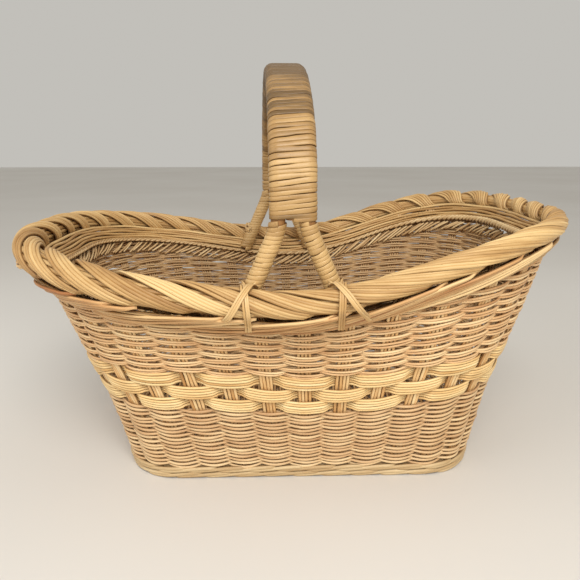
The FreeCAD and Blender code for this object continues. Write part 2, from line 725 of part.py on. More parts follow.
def check_and_export():
    doc.recompute()
    for item in doc.Objects:
        if "Invalid" in item.State or "Error" in item.State:
            raise RuntimeError(f"{item.Label}: state {item.State}")
    for item in nodes:
        if item.Shape.isNull() or not item.Shape.isValid():
            raise RuntimeError(f"{item.Label}: bad shape")
    os.makedirs("parts", exist_ok=True)
    for item in nodes:
        item.Shape.exportStep(f"parts/{item.Label}.step")
        box = item.Shape.BoundBox
        print(
            f"{item.Label:26s} solids {len(item.Shape.Solids):3d}  faces {len(item.Shape.Faces):4d}"
            f"  volume {item.Shape.Volume / 1000:9.2f} cm3"
            f"  x {box.XMin:7.1f} {box.XMax:7.1f}  y {box.YMin:7.1f} {box.YMax:7.1f}"
            f"  z {box.ZMin:6.1f} {box.ZMax:6.1f}"
        )


make_sheet()
all_stakes = make_stakes(make_border())
make_foot(all_stakes)
make_floor()
make_lower_wall(all_stakes)
make_upper_wall(all_stakes)
make_handle()
check_and_export()
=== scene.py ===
import math

import bpy
import numpy as np
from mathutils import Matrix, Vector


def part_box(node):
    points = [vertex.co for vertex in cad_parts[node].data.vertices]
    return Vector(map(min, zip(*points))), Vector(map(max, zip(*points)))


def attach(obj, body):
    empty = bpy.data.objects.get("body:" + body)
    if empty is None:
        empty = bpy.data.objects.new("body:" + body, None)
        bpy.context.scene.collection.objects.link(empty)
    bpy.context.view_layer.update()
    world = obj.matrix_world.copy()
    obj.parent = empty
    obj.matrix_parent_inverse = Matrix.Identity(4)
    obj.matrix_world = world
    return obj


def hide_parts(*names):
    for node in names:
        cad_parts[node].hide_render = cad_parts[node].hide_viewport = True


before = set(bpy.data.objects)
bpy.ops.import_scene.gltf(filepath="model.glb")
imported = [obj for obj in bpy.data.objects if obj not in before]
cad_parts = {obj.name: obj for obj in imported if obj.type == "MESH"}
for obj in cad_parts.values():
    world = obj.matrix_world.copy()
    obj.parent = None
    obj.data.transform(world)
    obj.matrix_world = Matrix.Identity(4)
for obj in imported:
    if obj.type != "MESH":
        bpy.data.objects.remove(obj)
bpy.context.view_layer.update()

# A woven market basket, rod by rod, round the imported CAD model.
# Lengths are millimetres until a mesh is built. +X is the length, +Y runs from front to back, +Z is up.
# A place round the basket is a share from 0 to 1: 0 is the middle of the front, 0.25 the right end.

MM = 0.001
TAU = 2 * math.pi

WALL = 8.0
FOOT_PROUD = 1.5
FLARE = (150.0, 204.0, 145.0, 112.0)
BRIM = (206.0, 219.0, 165.0, 128.0)
CORNERS = {"foot_wale_upper": 51.6, "lower_weave": 84.0, "waist_ribbon_upper": 95.0}
LEAN = 0.038
STAKES = 36
STAKE_PHASE = 4.0
STAKE_RODS = 4
STAKE_ROD = 2.75
BORDER_RADIUS = 13.5
RIM_CORNER = 130.0
LEFT_EASE = 0.30
RIGHT_POWER = 1.8
WALE_TOP = 18.5
WALE_HEIGHT = 8.0
HANDLE_OFFSET = -7.5
HANDLE_TURN = math.radians(2.0)
HALF_SPAN = 135.0
SPRING = 238.0
SHOULDER = 80.0
BAND_START = 226.0
SPLIT = 220.0
SPLIT_RADIUS = 45.0
LEG_FOOT = 158.0
LEG_SPREAD = 38.0
ROD_RADIUS = 5.2
ROD_PITCH = 10.5
WRAP = 1.5
SIDES = ("front", "right", "back", "left")
ENDS = ((-1, "front"), (1, "back"))
LEG_SIDES = ((-1, "left"), (1, "right"))
STEPS = 10
FINE_STEPS = 24

# Rods and rows of the woven layers.
ROW_ROD = 1.15
LOWER_PITCH = 1.85
UPPER_PITCH = 2.9
RIBBON_RODS = 5
FLOOR_STICKS = 7
FLOOR_STICK_PITCH = 26.0
FLOOR_ROD_PITCH = 3.0
BUNDLE_RODS = 5
BUNDLE_ROD = 1.42
BUNDLE_ROD_PITCH = 2.72
CORE_RODS = 12
BARE_CORNER = (0.09, 0.24)
BAND_TURN = 3.45
LEG_TURN = 3.3
TURN_SPREAD = 0.20

rng = np.random.default_rng(11)


def box_mm(node):
    low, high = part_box(node)
    return np.array(low) / MM, np.array(high) / MM


# ---------------------------------------------------------------- outlines

def outline(half_length, half_width, corner, share):
    """Points on a rounded rectangle at shares of the way round, and the outward normals."""
    share = np.mod(share, 1.0)
    quarter = np.minimum(np.floor(share * 4), 3)
    folded = np.where(quarter % 2 == 0, share - quarter / 4, (quarter + 1) / 4 - share)
    run_x = half_length - corner
    run_y = half_width - corner
    bend = corner * math.pi / 2
    way = folded * 4 * (run_x + run_y + bend)
    angle = np.clip((way - run_x) / corner, 0, math.pi / 2)
    mirror_x = np.where(quarter >= 2, -1.0, 1.0)
    mirror_y = np.where((quarter == 1) | (quarter == 2), -1.0, 1.0)
    x = np.clip(way, 0, run_x) + corner * np.sin(angle)
    y = np.maximum(way - run_x - bend, 0) - run_y - corner * np.cos(angle)
    return x * mirror_x, y * mirror_y, np.sin(angle) * mirror_x, -np.cos(angle) * mirror_y


def wall_levels():
    """Height, half length, half width and corner radius of the wall's outside, lowest first."""
    levels = []
    for node, corner in CORNERS.items():
        low, high = box_mm(node)
        proud = FOOT_PROUD if node.startswith("foot") else 0.0
        levels.append((high[2], (high[0] - low[0]) / 2 - proud, (high[1] - low[1]) / 2 - proud, corner))
    low = levels[0]
    next_up = levels[1]
    share = low[0] / (next_up[0] - low[0])
    ground = [0.0] + [low[i] - (next_up[i] - low[i]) * share for i in (1, 2, 3)]
    return np.array([ground] + levels + [FLARE, BRIM])


def soft_profile(levels):
    """The levels on a fine grid of heights, with their corners eased."""
    grid = np.arange(-30.0, 241.0)
    ease = np.hanning(23)
    ease /= ease.sum()
    columns = [grid]
    for column in (1, 2, 3):
        slope_low = (levels[1, column] - levels[0, column]) / (levels[1, 0] - levels[0, 0])
        slope_high = (levels[-1, column] - levels[-2, column]) / (levels[-1, 0] - levels[-2, 0])
        value = np.interp(grid, levels[:, 0], levels[:, column])
        value += np.minimum(grid - levels[0, 0], 0) * slope_low
        value += np.maximum(grid - levels[-1, 0], 0) * slope_high
        value[11:-11] = np.convolve(value, ease, mode="valid")
        columns.append(value)
    return np.array(columns)


PROFILE = soft_profile(wall_levels())
RIM_HALF_LENGTH = box_mm("border_right")[1][0] - BORDER_RADIUS
RIM_HALF_WIDTH = box_mm("border_back")[1][1] - BORDER_RADIUS
RIM_DIP = box_mm("border_front")[0][2] + BORDER_RADIUS
LEFT_RISE = box_mm("border_left")[1][2] - BORDER_RADIUS - RIM_DIP
RIGHT_RISE = box_mm("border_right")[1][2] - BORDER_RADIUS - RIM_DIP
LOWER_LOW = box_mm("lower_weave")[0][2]
WAIST_LOW = box_mm("waist_ribbon_lower")[0][2]
WAIST_HIGH = box_mm("waist_ribbon_upper")[1][2]
RIM_PERIMETER = 4 * (RIM_HALF_LENGTH + RIM_HALF_WIDTH) - (8 - TAU) * RIM_CORNER


def wall_size(height):
    """Half length, half width and corner radius of the middle of the wall at a height."""
    return [np.interp(height, PROFILE[0], PROFILE[i]) - WALL / 2 for i in (1, 2, 3)]


def wall_place(share, height, proud):
    """Points on the wall, proud of its middle, and the outward normals."""
    share, height, proud = np.broadcast_arrays(share, height, proud)
    x, y, out_x, out_y = outline(*wall_size(height), share)
    normal = np.stack([out_x, out_y, np.zeros_like(x)], -1)
    point = np.stack([x + LEAN * (RIM_DIP - height), y, height], -1) + proud[..., None] * normal
    return point, normal


def rim_height(x):
    """The border's centre line rises steadily to the left end and levels off at the right."""
    reach = np.abs(x) / RIM_HALF_LENGTH
    left = LEFT_RISE * (np.hypot(reach, LEFT_EASE) - LEFT_EASE) / (math.hypot(1.0, LEFT_EASE) - LEFT_EASE)
    right = RIGHT_RISE * np.sin(np.minimum(reach, 1.0) * math.pi / 2) ** RIGHT_POWER
    return RIM_DIP + np.where(x < 0, left, right)


def rim_frame(share):
    """The border's centre line: points, outward normals and forward directions."""
    small = 0.0005

    def centre(where):
        x, y, _, _ = outline(RIM_HALF_LENGTH, RIM_HALF_WIDTH, RIM_CORNER, where)
        return np.stack([x, y, rim_height(x)], -1)

    _, _, out_x, out_y = outline(RIM_HALF_LENGTH, RIM_HALF_WIDTH, RIM_CORNER, share)
    forward = centre(share + small) - centre(share - small)
    forward /= np.linalg.norm(forward, axis=-1, keepdims=True)
    out = np.stack([out_x, out_y, np.zeros_like(out_x)], -1)
    out -= (out * forward).sum(-1, keepdims=True) * forward
    out /= np.linalg.norm(out, axis=-1, keepdims=True)
    return centre(share), out, forward


# The waist ribbons climb at the right end and dip a little at the middle of the front.
WAIST_PLACES = (0.0, 0.03, 0.09, 0.135, 0.25, 0.365, 0.42, 0.50, 0.75, 0.93, 0.98, 1.0)
WAIST_LIFTS = (-3.5, -4.0, 6.0, 11.5, 12.0, 11.0, 6.0, 0.0, 2.5, 3.0, -1.5, -3.5)


def waist_lift(share):
    """How far the waist ribbons stand above their level at a place round the wall."""
    steps = (-0.03, -0.01, 0.01, 0.03)
    near = [np.interp(np.mod(share + step, 1.0), WAIST_PLACES, WAIST_LIFTS) for step in steps]
    return sum(near) / len(near)


def height_under_rim(share, drop):
    """The height on the wall that lies a drop below the border's centre line."""
    height = np.full_like(share, WAIST_HIGH)
    for _ in range(8):
        point, _ = wall_place(share, height, 0.0)
        height = rim_height(point[..., 0]) - drop
    return height


def first_stake_share():
    half_length, half_width, corner = wall_size(WAIST_HIGH)
    return STAKE_PHASE / (4 * (half_length + half_width) - (8 - TAU) * corner)


FIRST_STAKE = first_stake_share()


def stake_share(index):
    return index / STAKES + FIRST_STAKE


def stake_count(share):
    """How many stakes from the first one a share lies, as a real number."""
    return (share - FIRST_STAKE) * STAKES


def ring_shares(steps=STEPS):
    return np.arange(STAKES * steps) / (STAKES * steps)


def wander(share, amount, waves=5):
    """A closed, random, gentle wave along the way round, different for each call."""
    total = np.zeros_like(share)
    for _ in range(waves):
        count = rng.integers(2, 24)
        total += rng.normal() * np.sin(TAU * (count * share + rng.random()))
    return total * amount / math.sqrt(waves)


# ---------------------------------------------------------------- strands and meshes

class Strands:
    """Rods swept along paths and gathered into one mesh."""

    def __init__(self):
        self.points = []
        self.quads = []
        self.caps = []
        self.grain = []
        self.tone = []
        self.facing = []
        self.total = 0

    def add(self, path, normal, thick, tall, sides=6, closed=False, tone=None, flat=1.0):
        """One rod. Thick is half its size along the normal and tall half its size across it.
        A flat below 1 squares its section off."""
        path = np.asarray(path, float)
        steps = len(path)
        if closed:
            tangent = np.roll(path, -1, 0) - np.roll(path, 1, 0)
        else:
            tangent = np.gradient(path, axis=0)
        tangent /= np.linalg.norm(tangent, axis=1, keepdims=True)
        out = np.broadcast_to(normal, path.shape)
        out = out - (out * tangent).sum(1, keepdims=True) * tangent
        out /= np.linalg.norm(out, axis=1, keepdims=True)
        side = np.cross(tangent, out)
        angle = TAU * (np.arange(sides) + 0.5) / sides
        thick = np.broadcast_to(np.asarray(thick, float), (steps,))[:, None, None]
        tall = np.broadcast_to(np.asarray(tall, float), (steps,))[:, None, None]
        across = (np.sign(np.cos(angle)) * np.abs(np.cos(angle)) ** flat)[None, :, None] * thick
        upward = (np.sign(np.sin(angle)) * np.abs(np.sin(angle)) ** flat)[None, :, None] * tall
        rings = path[:, None] + out[:, None] * across + side[:, None] * upward
        self.points.append(rings.reshape(-1, 3))
        self.add_faces(steps, sides, closed)
        hops = np.linalg.norm(np.diff(path, axis=0), axis=1)
        along = np.concatenate([[0.0], np.cumsum(hops)])
        start = rng.random() * 4000.0
        grain = np.empty((steps, sides, 3))
        grain[..., 0] = start + along[:, None]
        grain[..., 1] = start + across[..., 0]
        grain[..., 2] = upward[..., 0]
        self.grain.append(grain.reshape(-1, 3))
        tone = rng.normal(0.5, 0.2) if tone is None else tone
        self.tone.append(np.broadcast_to(np.asarray(tone, float).reshape(-1, 1), (steps, sides)).ravel())
        self.facing.append(np.broadcast_to(np.cos(angle), (steps, sides)).ravel())

    def add_faces(self, steps, sides, closed):
        ring = np.arange(steps if closed else steps - 1)[:, None] * sides
        next_ring = (ring + sides) % (steps * sides)
        here = np.arange(sides)[None]
        beside = (here + 1) % sides
        quads = np.stack([ring + here, next_ring + here, next_ring + beside, ring + beside], -1)
        self.quads.append(quads.reshape(-1, 4) + self.total)
        if not closed:
            self.caps.append(np.arange(sides) + self.total)
            self.caps.append(np.arange(sides)[::-1] + (steps - 1) * sides + self.total)
        self.total += steps * sides

    def build(self, name):
        """The mesh object, in metres."""
        mesh = bpy.data.meshes.new(name)
        points = np.concatenate(self.points) * MM
        quads = np.concatenate(self.quads)
        sizes = [4] * len(quads) + [len(cap) for cap in self.caps]
        corners = np.concatenate([quads.ravel()] + self.caps)
        mesh.vertices.add(len(points))
        mesh.vertices.foreach_set("co", points.astype(np.float32).ravel())
        mesh.loops.add(len(corners))
        mesh.loops.foreach_set("vertex_index", corners.astype(np.int32))
        mesh.polygons.add(len(sizes))
        mesh.polygons.foreach_set("loop_start", (np.cumsum(sizes) - sizes).astype(np.int32))
        mesh.update(calc_edges=True)
        mesh.polygons.foreach_set("use_smooth", np.ones(len(sizes), bool))
        for label, kind, values, field in (
            ("grain", "FLOAT_VECTOR", self.grain, "vector"),
            ("tone", "FLOAT", self.tone, "value"),
            ("facing", "FLOAT", self.facing, "value"),
        ):
            layer = mesh.attributes.new(label, kind, "POINT")
            layer.data.foreach_set(field, np.concatenate(values).astype(np.float32).ravel())
        mesh.validate()
        item = bpy.data.objects.new(name, mesh)
        bpy.context.scene.collection.objects.link(item)
        return item


def finish_piece(strands, name, nodes, material):
    item = strands.build(name)
    item.data.materials.append(material)
    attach(item, "root")
    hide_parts(*nodes)
    return item


# ---------------------------------------------------------------- materials

def srgb(red, green, blue):
    """A colour from 0 to 255 steps, as the linear values that Blender wants."""
    linear = []
    for value in (red, green, blue):
        value /= 255
        linear.append(value / 12.92 if value <= 0.04045 else ((value + 0.055) / 1.055) ** 2.4)
    return (*linear, 1.0)


class Nodes:
    """Short calls for adding and joining shader nodes."""

    def __init__(self, name):
        self.material = bpy.data.materials.new(name)
        self.material.use_nodes = True
        self.tree = self.material.node_tree
        self.shader = self.tree.nodes["Principled BSDF"]

    def add(self, kind, **settings):
        node = self.tree.nodes.new(kind)
        for key, value in settings.items():
            setattr(node, key, value)
        return node

    def join(self, source, target):
        self.tree.links.new(source, target)

    def attribute(self, name, output="Fac"):
        return self.add("ShaderNodeAttribute", attribute_name=name).outputs[output]

    def scaled(self, vector, scale):
        node = self.add("ShaderNodeVectorMath", operation="MULTIPLY")
        self.join(vector, node.inputs[0])
        node.inputs[1].default_value = scale
        return node.outputs[0]

    def noise(self, vector, scale=1.0, detail=2.0, roughness=0.5):
        node = self.add("ShaderNodeTexNoise")
        self.join(vector, node.inputs["Vector"])
        node.inputs["Scale"].default_value = scale
        node.inputs["Detail"].default_value = detail
        node.inputs["Roughness"].default_value = roughness
        return node.outputs["Fac"]

    def math(self, operation, first, second, third=None):
        node = self.add("ShaderNodeMath", operation=operation)
        for socket, value in zip(node.inputs, (first, second, third)):
            if value is None:
                continue
            if isinstance(value, (int, float)):
                socket.default_value = value
            else:
                self.join(value, socket)
        return node.outputs[0]

    def range(self, value, low, high, to_low, to_high):
        node = self.add("ShaderNodeMapRange", interpolation_type="SMOOTHSTEP")
        self.join(value, node.inputs["Value"])
        limits = (("From Min", low), ("From Max", high), ("To Min", to_low), ("To Max", to_high))
        for label, number in limits:
            node.inputs[label].default_value = number
        return node.outputs["Result"]

    def ramp(self, value, colours):
        node = self.add("ShaderNodeValToRGB")
        stops = node.color_ramp.elements
        while len(stops) < len(colours):
            stops.new(0.5)
        for index, (place, colour) in enumerate(colours):
            stops[index].position = place
            stops[index].color = colour
        self.join(value, node.inputs["Fac"])
        return node.outputs["Color"]

    def mix(self, share, first, second, blend="MIX"):
        node = self.add("ShaderNodeMix", data_type="RGBA", blend_type=blend)
        for socket, value in ((node.inputs[0], share), (node.inputs[6], first), (node.inputs[7], second)):
            if isinstance(value, (float, tuple)):
                socket.default_value = value
            else:
                self.join(value, socket)
        return node.outputs[2]

    def bump(self, height, strength, distance):
        node = self.add("ShaderNodeBump")
        node.inputs["Strength"].default_value = strength
        node.inputs["Distance"].default_value = distance
        self.join(height, node.inputs["Height"])
        self.join(node.outputs["Normal"], self.shader.inputs["Normal"])


def cane(name, dark, middle, pale, inside, gloss=0.5, cane_strip=False):
    """Rattan: a tone for each rod, slow blotches, fibre streaks, specks, and painted shade on the rods' backs
    and in the grooves between them.
    """
    n = Nodes(name)
    grain = n.attribute("grain", "Vector")
    tone = n.attribute("tone")
    facing = n.attribute("facing")
    blotch = n.noise(n.scaled(grain, (0.028, 0.10, 0.10)), detail=3.0, roughness=0.55)
    streak = n.noise(n.scaled(grain, (0.06, 2.2, 2.2)), detail=3.0, roughness=0.6)
    fleck = n.noise(n.scaled(grain, (0.45, 1.1, 1.1)), detail=1.0)
    value = n.math("MULTIPLY_ADD", tone, 0.55, -0.30)
    value = n.math("MULTIPLY_ADD", blotch, 0.75, value)
    value = n.math("MULTIPLY_ADD", streak, 0.30, value)
    colour = n.ramp(value, ((0.12, dark), (0.42, middle), (0.80, pale), (1.0, pale)))
    colour = n.mix(n.range(fleck, 0.70, 0.78, 0.0, 0.6), colour, dark)
    # Painted shade on the backs of the rods: surfaces facing away from the outward direction take the darker
    # back colour.
    colour = n.mix(n.range(facing, 0.1, -0.7, 0.0, 0.75), colour, inside)
    # Painted shade between rods: where a rod's surface turns sideways towards its neighbours, its colour is
    # mixed towards a dark brown.
    groove = n.math("ABSOLUTE", facing, 0.0)
    shade = n.range(groove, 0.0, 0.62, 0.72, 0.0)
    colour = n.mix(shade, colour, srgb(92, 56, 24))
    n.join(colour, n.shader.inputs["Base Color"])
    rough = n.range(streak, 0.3, 0.7, gloss - 0.08, gloss + 0.10)
    n.join(rough, n.shader.inputs["Roughness"])
    fine = n.noise(n.scaled(grain, (0.5, 3.5, 3.5)), detail=2.0)
    height = n.math("MULTIPLY_ADD", fine, 0.5, streak)
    n.bump(height, 0.35, 0.00035)
    if cane_strip:
        n.shader.inputs["Coat Weight"].default_value = 0.12
        n.shader.inputs["Coat Roughness"].default_value = 0.35
    return n.material


def core_material(name, dark, pale):
    """Rattan pole on a CAD solid, which has no rod attributes: streaks along its height."""
    n = Nodes(name)
    place = n.add("ShaderNodeTexCoord").outputs["Object"]
    streak = n.noise(n.scaled(place, (900.0, 900.0, 60.0)), detail=3.0)
    blotch = n.noise(n.scaled(place, (60.0, 60.0, 25.0)), detail=2.0)
    value = n.math("MULTIPLY_ADD", streak, 0.6, -0.05)
    value = n.math("MULTIPLY_ADD", blotch, 0.5, value)
    n.join(n.ramp(value, ((0.25, dark), (0.75, pale))), n.shader.inputs["Base Color"])
    n.join(n.range(streak, 0.3, 0.7, 0.45, 0.62), n.shader.inputs["Roughness"])
    n.bump(streak, 0.3, 0.0003)
    return n.material


def floor_material():
    n = Nodes("studio_floor")
    place = n.add("ShaderNodeTexCoord").outputs["Object"]
    cloud = n.noise(n.scaled(place, (1.5, 1.5, 1.5)), detail=2.0)
    colour = n.ramp(cloud, ((0.3, srgb(214, 210, 204)), (0.7, srgb(221, 218, 213))))
    n.join(colour, n.shader.inputs["Base Color"])
    n.shader.inputs["Roughness"].default_value = 0.8
    return n.material


# Each layer's cane: the dark, middle and pale tones of its rods, then the darker colour painted on their
# backs as shade.
# Painted shade for the backs of the wall's rods, which face the basket's inside.
BACK_SHADE = srgb(176, 144, 102)
foot_cane = cane("foot_cane", srgb(168, 132, 88), srgb(196, 166, 120), srgb(224, 200, 156), BACK_SHADE)
floor_cane = cane("floor_cane", srgb(150, 112, 68), srgb(190, 150, 102), srgb(214, 178, 128), BACK_SHADE)
lower_cane = cane("lower_cane", srgb(178, 134, 90), srgb(210, 170, 122), srgb(236, 206, 158), BACK_SHADE)
ribbon_cane = cane("ribbon_cane", srgb(206, 160, 98), srgb(236, 198, 136), srgb(250, 226, 172), BACK_SHADE)
upper_cane = cane("upper_cane", srgb(184, 136, 88), srgb(220, 176, 124), srgb(246, 216, 166), BACK_SHADE)
wale_cane = cane("wale_cane", srgb(166, 108, 60), srgb(210, 162, 106), srgb(240, 206, 150), BACK_SHADE)
stake_cane = cane("stake_cane", srgb(176, 126, 70), srgb(222, 176, 116), srgb(250, 222, 170), BACK_SHADE)
border_cane = cane(
    "border_cane", srgb(150, 106, 56), srgb(192, 152, 96), srgb(228, 194, 136), srgb(150, 108, 60)
)
row_cane = cane("row_cane", srgb(160, 122, 76), srgb(202, 166, 116), srgb(230, 202, 154), BACK_SHADE)
wrap_cane = cane(
    "wrap_cane", srgb(108, 82, 46), srgb(168, 131, 80), srgb(208, 172, 116), srgb(150, 108, 54), 0.42, True
)
lash_cane = cane("lash_cane", srgb(176, 132, 78), srgb(206, 166, 108), srgb(230, 198, 144), BACK_SHADE, 0.5, True)
core_cane = core_material("core_cane", srgb(120, 78, 36), srgb(182, 132, 76))


# ---------------------------------------------------------------- wall

def make_lower_weave():
    """Plain weave of single rods, each row over one stake and under the next."""
    strands = Strands()
    share = ring_shares(12)
    rows = int(round((WAIST_LOW - LOWER_LOW) / LOWER_PITCH))
    for row in range(rows):
        over = np.cos(math.pi * (stake_count(share) + row))
        front = (over + 1) / 2
        height = LOWER_LOW + (row + 0.5) * (WAIST_LOW + waist_lift(share) - LOWER_LOW) / rows
        height = height - 1.5 * front + 0.5 + wander(share, 0.45)
        proud = 3.3 * over + wander(share, 0.25)
        path, normal = wall_place(share, height, proud)
        tone = rng.normal(0.5, 0.11) + wander(share, 0.16) + 0.35 * max(0.0, 1 - row / 7)
        tall = 1.02 + 0.42 * np.abs(over) ** 0.7
        strands.add(path, normal, ROW_ROD, tall, closed=True, tone=tone)
    finish_piece(strands, "lower_weave_rods", ["lower_weave"], lower_cane)


def make_waist_ribbons():
    """Three rows of flat ribbons, each five rods side by side, over one stake and under one."""
    share = ring_shares(14)
    names = ("waist_ribbon_lower", "waist_ribbon_middle", "waist_ribbon_upper")
    ring_height = (WAIST_HIGH - WAIST_LOW) / len(names)
    for ring, node in enumerate(names):
        strands = Strands()
        wave = np.cos(math.pi * (stake_count(share) + ring))
        over = np.tanh(3.5 * (wave + 0.45)) / math.tanh(3.5)
        snug = np.abs(over)
        sag = -1.5 * (wave - 0.3)
        middle = WAIST_LOW + waist_lift(share) + (ring + 0.5) * ring_height + sag + wander(share, 0.5)
        for rod in range(RIBBON_RODS):
            rank = rod - (RIBBON_RODS - 1) / 2
            height = middle + rank * (2.10 + 0.26 * snug) + wander(share, 0.14)
            crown = 0.45 - 0.12 * rank * rank
            proud = (2.9 + crown) * over + wander(share, 0.15)
            path, normal = wall_place(share, height, proud)
            tone = rng.normal(0.5, 0.14) + wander(share, 0.10)
            strands.add(path, normal, ROW_ROD, 1.08 + 0.14 * snug, closed=True, tone=tone)
        finish_piece(strands, node + "_rods", [node], ribbon_cane)


def runs_of(mask):
    """The unbroken runs of a closed row of samples, as sample numbers, or one None for a whole ring."""
    if mask.all():
        return [None]
    count = len(mask)
    starts = np.flatnonzero(mask & ~np.roll(mask, 1))
    runs = []
    for start in starts:
        length = 1
        while mask[(start + length) % count]:
            length += 1
        runs.append(start + np.arange(length))
    return runs


def make_upper_weave():
    """Pairs of rods, over one and under one; the rows fan out and run out under the rising rim."""
    strands = Strands()
    share = ring_shares()
    top = height_under_rim(share, wale_drop(share) + WALE_HEIGHT)
    waist = WAIST_HIGH + waist_lift(share)
    room = top - waist
    lowest = room.min()
    pitch = UPPER_PITCH * (1 + 0.22 * (room / lowest - 1))
    rows = int((room / pitch).max())
    for row in range(rows):
        height = waist + (row + 0.5) * pitch
        mask = height < top - 0.6
        if mask.sum() < 3 * STEPS:
            continue
        for run in runs_of(mask):
            add_pair(strands, share, height, pitch, row, run)
    finish_piece(strands, "upper_weave_rods", ["upper_weave"], upper_cane)


def add_pair(strands, share, height, pitch, row, run):
    """One row of two rods, all the way round or along a run that is tucked in at both ends."""
    closed = run is None
    drift = wander(share, 0.55)
    place = share
    tuck = np.ones_like(share)
    if not closed:
        if len(run) < 2 * STEPS:
            return
        ends = np.minimum(np.arange(len(run)), np.arange(len(run))[::-1])
        tuck = np.clip(ends / 6.0, 0, 1)
        count = len(share)
        place = share[run % count] + run // count
        height, pitch, drift = [values[run % count] for values in (height, pitch, drift)]
    wave = np.cos(math.pi * (stake_count(place) + row + 0.06 * np.sin(TAU * 7 * place + row)))
    over = np.tanh(1.3 * wave) / math.tanh(1.3)
    over = over * tuck - (1 - tuck)
    snug = np.abs(over)
    half = 0.36 * pitch
    sag = -0.9 * over
    for rank in (-0.5, 0.5):
        spacing = 2 * half * (0.62 + 0.36 * snug)
        level = height + drift + sag + rank * spacing + wander(place, 0.16)
        proud = 2.75 * over + wander(place, 0.22)
        path, normal = wall_place(place, level, proud)
        tone = rng.normal(0.5, 0.13) + wander(place, 0.16)
        strands.add(path, normal, 1.05, half * (0.88 + 0.06 * snug), closed=closed, tone=tone)


def add_wale(strands, share, middle, rods, rise, proud, radius, first):
    """A wale: each rod passes over all but one of a group of stakes and climbs as it goes."""
    for rod in range(rods):
        count = stake_count(share) + rod + first
        turn = np.mod(count / rods, 1.0)
        apart = np.minimum(turn, 1 - turn) * rods
        over = 1 - 2 * np.exp(-((apart / 0.5) ** 4))
        height = middle - rise * np.sin(TAU * turn) + wander(share, 0.2)
        path, normal = wall_place(share, height, (proud - 0.4) * over + 0.4 + wander(share, 0.15))
        tone = rng.normal(0.5, 0.15) + wander(share, 0.12)
        strands.add(path, normal, radius, radius * 1.06, sides=8, closed=True, tone=tone)


def make_foot():
    share = ring_shares(12)
    row_height = LOWER_LOW / 2
    for row, node in enumerate(("foot_wale_lower", "foot_wale_upper")):
        strands = Strands()
        middle = row_height * (row + 0.5) + (0.38 if row == 0 else 0.0)
        add_wale(strands, share, middle, 3, 1.45, 3.6, 1.66, 1.5 * row)
        finish_piece(strands, node + "_rods", [node], foot_cane)


def make_top_wale():
    share = ring_shares(12)
    middle = height_under_rim(share, wale_drop(share) + WALE_HEIGHT / 2)
    strands = Strands()
    add_wale(strands, share, middle, 4, 2.7, 3.4, 1.5, 0)
    add_shoulder(strands)
    finish_piece(strands, "top_wale_rods", ["top_wale"], wale_cane)


def make_floor_weave():
    """Cross rods woven over and under the long base sticks."""
    strands = Strands()
    inside_length, inside_width, corner = [size - WALL / 2 for size in wall_size(6.0)]
    low, high = box_mm("base_sticks")
    middle = (low[2] + high[2]) / 2
    rods = int(2 * inside_length / FLOOR_ROD_PITCH)
    for rod in range(rods):
        x = inside_length * (2 * (rod + 0.5) / rods - 1)
        into = max(0.0, abs(x) - (inside_length - corner))
        reach = inside_width - corner + math.sqrt(max(corner ** 2 - into ** 2, 0.0))
        y = np.linspace(-reach, reach, 57)
        wave = np.cos(math.pi * (y / FLOOR_STICK_PITCH + (FLOOR_STICKS - 1) / 2 + rod))
        over_sticks = np.abs(y) < FLOOR_STICK_PITCH * FLOOR_STICKS / 2
        height = middle + 3.1 * np.tanh(1.6 * wave) * over_sticks
        across = x + LEAN * (RIM_DIP - middle) + wander(y / 400, 0.2)
        path = np.stack([across, y, height], -1)
        strands.add(path, (0, 0, 1), 1.2, 1.4)
    finish_piece(strands, "base_weave_rods", ["base_weave"], floor_cane)


def side_of(index):
    return SIDES[int(((stake_share(index) + 0.125) % 1.0) * 4)]


def make_stakes():
    """Four rods for each stake, up the middle of the wall and out under the border."""
    groups = {side: Strands() for side in SIDES}
    for index in range(STAKES):
        share = stake_share(index)
        top = float(height_under_rim(np.array([share]), WALE_TOP)[0])
        centre, out, _ = rim_frame(np.array([share]))
        climb = np.array([6.0, 20.0, 40.0, 60.0, WAIST_LOW, 90.0, WAIST_HIGH, 120.0, 132.0])
        climb = np.append(climb, np.linspace(140.0, top, 5))
        proud = 0.7 * smooth(WAIST_HIGH, WAIST_HIGH + 8, climb)
        path, normal = wall_place(np.full_like(climb, share), climb, proud)
        goal = centre[0] - out[0] * 12.0 + np.array([0, 0, -6.0])
        path = np.vstack([path, path[-1] * 0.5 + goal * 0.5, goal])
        normal = np.vstack([normal, normal[-1:], normal[-1:]])
        side_way = np.stack([-normal[:, 1], normal[:, 0], np.zeros(len(normal))], -1)
        for rod in range(STAKE_RODS):
            rank = (rod - (STAKE_RODS - 1) / 2) * STAKE_ROD * 0.97
            lean = rng.normal(0, 0.25, len(path))
            groups[side_of(index)].add(path + side_way * (rank + lean[:, None]), normal, 1.3, 1.36)
    for side, strands in groups.items():
        finish_piece(strands, f"stake_rods_{side}", [f"stakes_{side}"], stake_cane)


# ---------------------------------------------------------------- border

def smooth(low, high, value):
    share = np.clip((value - low) / (high - low), 0, 1)
    return share * share * (3 - 2 * share)


def rim_up(out, forward):
    up = np.cross(out, forward)
    return up * np.sign(up[:, 2:3])


def rim_roll(share, angle, radius):
    """Points round the border's centre line, at an angle from outward and a radius, and the normals."""
    centre, out, forward = rim_frame(share)
    up = rim_up(out, forward)
    centre = centre + up * roll_lift(share)[:, None]
    normal = out * np.cos(angle)[:, None] + up * np.sin(angle)[:, None]
    return centre + normal * radius[:, None], normal


